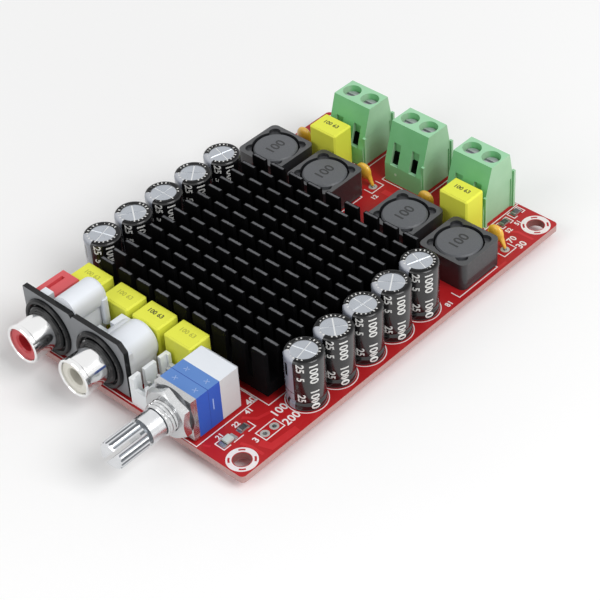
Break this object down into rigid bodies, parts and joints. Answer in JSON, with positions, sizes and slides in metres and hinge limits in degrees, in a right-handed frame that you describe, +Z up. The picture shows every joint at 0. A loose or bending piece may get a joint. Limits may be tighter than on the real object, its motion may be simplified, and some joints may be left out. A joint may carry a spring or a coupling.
{
  "type": "audio amplifier board",
  "caption": "Stereo audio amplifier board with a pin-fin heatsink, volume control, phono inputs and screw terminals.",
  "frame": {"origin": "centre of the four mounting holes, on the underside of the board", "axes": "+Z up, out of the component side; +Y towards the screw terminals; the control shaft points to -Y; +X to the side that carries the control"},
  "size_m": [0.065, 0.1109, 0.0186],
  "materials": {
    "board_laminate": "red solder mask over glass laminate",
    "black_aluminium": "black anodised",
    "steel_screw": "plated steel",
    "brass_spacer": "turned",
    "chip_plastic": "moulded package with tinned leads",
    "soft_pad": "soft heat-conducting pad",
    "capacitor_can": "black printed sleeve on an aluminium can",
    "film_case": "yellow moulded case",
    "disc_coating": "orange dipped coating",
    "solder": "tinned wire and solder",
    "ferrite": "dark pressed ferrite",
    "drum": "dark grey coated drum",
    "green_housing": "green moulded nylon",
    "plated_cage": "nickel plated",
    "tinned_pin": "tinned brass",
    "control_metal": "nickel plated",
    "shaft_metal": "bright turned",
    "blue_wafer": "blue moulded wafer",
    "white_cover": "white moulded",
    "plate_plastic": "black moulded",
    "sleeve_plating": "bright nickel",
    "red_insert": "red moulded",
    "white_insert": "white moulded",
    "contact_metal": "plated spring brass",
    "small_parts": "chip parts and a clear light"
  },
  "bodies": {
    "board": {"circuit_board": "board_laminate", "heatsink": "black_aluminium", "heatsink_screws": "steel_screw", "heatsink_spacers": "brass_spacer", "amplifier_chip": "chip_plastic", "thermal_pad": "soft_pad", "electrolytic_capacitor_1": "capacitor_can", "electrolytic_capacitor_2": "capacitor_can", "electrolytic_capacitor_3": "capacitor_can", "electrolytic_capacitor_4": "capacitor_can", "electrolytic_capacitor_5": "capacitor_can", "electrolytic_capacitor_6": "capacitor_can", "electrolytic_capacitor_7": "capacitor_can", "electrolytic_capacitor_8": "capacitor_can", "electrolytic_capacitor_9": "capacitor_can", "electrolytic_capacitor_10": "capacitor_can", "film_capacitors": "film_case", "ceramic_capacitors": "disc_coating", "component_leads": "solder", "inductor_shield_1": "ferrite", "inductor_shield_2": "ferrite", "inductor_shield_3": "ferrite", "inductor_shield_4": "ferrite", "inductor_cores": "drum", "terminal_housing_1": "green_housing", "terminal_housing_2": "green_housing", "terminal_housing_3": "green_housing", "terminal_contacts": "tinned_pin", "control_pins": "tinned_pin", "phono_pins": "tinned_pin", "input_header_pins": "tinned_pin", "control_front_plate": "control_metal", "control_bushing": "control_metal", "control_washer": "control_metal", "control_nut": "control_metal", "control_front_wafer": "blue_wafer", "control_rear_wafer": "blue_wafer", "control_rear_cover": "white_cover", "phono_body": "white_cover", "input_header": "white_cover", "phono_plate": "plate_plastic", "phono_sleeve_left": "sleeve_plating", "phono_sleeve_right": "sleeve_plating", "phono_insert_left": "red_insert", "phono_insert_right": "white_insert", "phono_centre_contacts": "contact_metal", "surface_mount_parts": "small_parts"},
    "control_shaft": {"control_shaft": "shaft_metal"},
    "terminal_screw_1": {"terminal_screw_1": "steel_screw"},
    "terminal_screw_2": {"terminal_screw_2": "steel_screw"},
    "terminal_screw_3": {"terminal_screw_3": "steel_screw"},
    "terminal_screw_4": {"terminal_screw_4": "steel_screw"},
    "terminal_screw_5": {"terminal_screw_5": "steel_screw"},
    "terminal_screw_6": {"terminal_screw_6": "steel_screw"},
    "terminal_cage_1": {"terminal_cage_1": "plated_cage"},
    "terminal_cage_2": {"terminal_cage_2": "plated_cage"},
    "terminal_cage_3": {"terminal_cage_3": "plated_cage"},
    "terminal_cage_4": {"terminal_cage_4": "plated_cage"},
    "terminal_cage_5": {"terminal_cage_5": "plated_cage"},
    "terminal_cage_6": {"terminal_cage_6": "plated_cage"}
  },
  "joints": [
    {"name": "volume", "type": "hinge", "parent": "board", "child": "control_shaft", "pos_m": [0.01455, -0.06317, 0.0076], "axis": [0, -1, 0], "range_deg": [-150, 150]},
    {"name": "clamp_screw_1", "type": "hinge", "parent": "board", "child": "terminal_screw_1", "pos_m": [-0.01986, 0.04231, 0.0157], "axis": [0, 0, -1], "range_deg": [0, 1440]},
    {"name": "cage_lift_1", "type": "slide", "parent": "board", "child": "terminal_cage_1", "axis": [0, 0, 1], "range_m": [0, 0.002]},
    {"name": "clamp_screw_2", "type": "hinge", "parent": "board", "child": "terminal_screw_2", "pos_m": [-0.01478, 0.04231, 0.0157], "axis": [0, 0, -1], "range_deg": [0, 1440]},
    {"name": "cage_lift_2", "type": "slide", "parent": "board", "child": "terminal_cage_2", "axis": [0, 0, 1], "range_m": [0, 0.002]},
    {"name": "clamp_screw_3", "type": "hinge", "parent": "board", "child": "terminal_screw_3", "pos_m": [-0.00331, 0.04231, 0.0157], "axis": [0, 0, -1], "range_deg": [0, 1440]},
    {"name": "cage_lift_3", "type": "slide", "parent": "board", "child": "terminal_cage_3", "axis": [0, 0, 1], "range_m": [0, 0.002]},
    {"name": "clamp_screw_4", "type": "hinge", "parent": "board", "child": "terminal_screw_4", "pos_m": [0.00177, 0.04231, 0.0157], "axis": [0, 0, -1], "range_deg": [0, 1440]},
    {"name": "cage_lift_4", "type": "slide", "parent": "board", "child": "terminal_cage_4", "axis": [0, 0, 1], "range_m": [0, 0.002]},
    {"name": "clamp_screw_5", "type": "hinge", "parent": "board", "child": "terminal_screw_5", "pos_m": [0.01354, 0.04231, 0.0157], "axis": [0, 0, -1], "range_deg": [0, 1440]},
    {"name": "cage_lift_5", "type": "slide", "parent": "board", "child": "terminal_cage_5", "axis": [0, 0, 1], "range_m": [0, 0.002]},
    {"name": "clamp_screw_6", "type": "hinge", "parent": "board", "child": "terminal_screw_6", "pos_m": [0.01862, 0.04231, 0.0157], "axis": [0, 0, -1], "range_deg": [0, 1440]},
    {"name": "cage_lift_6", "type": "slide", "parent": "board", "child": "terminal_cage_6", "axis": [0, 0, 1], "range_m": [0, 0.002]}
  ],
  "couplings": [
    {"joint": "clamp_screw_1", "follows": "cage_lift_1", "rad_per_m": 12566},
    {"joint": "clamp_screw_2", "follows": "cage_lift_2", "rad_per_m": 12566},
    {"joint": "clamp_screw_3", "follows": "cage_lift_3", "rad_per_m": 12566},
    {"joint": "clamp_screw_4", "follows": "cage_lift_4", "rad_per_m": 12566},
    {"joint": "clamp_screw_5", "follows": "cage_lift_5", "rad_per_m": 12566},
    {"joint": "clamp_screw_6", "follows": "cage_lift_6", "rad_per_m": 12566}
  ]
}
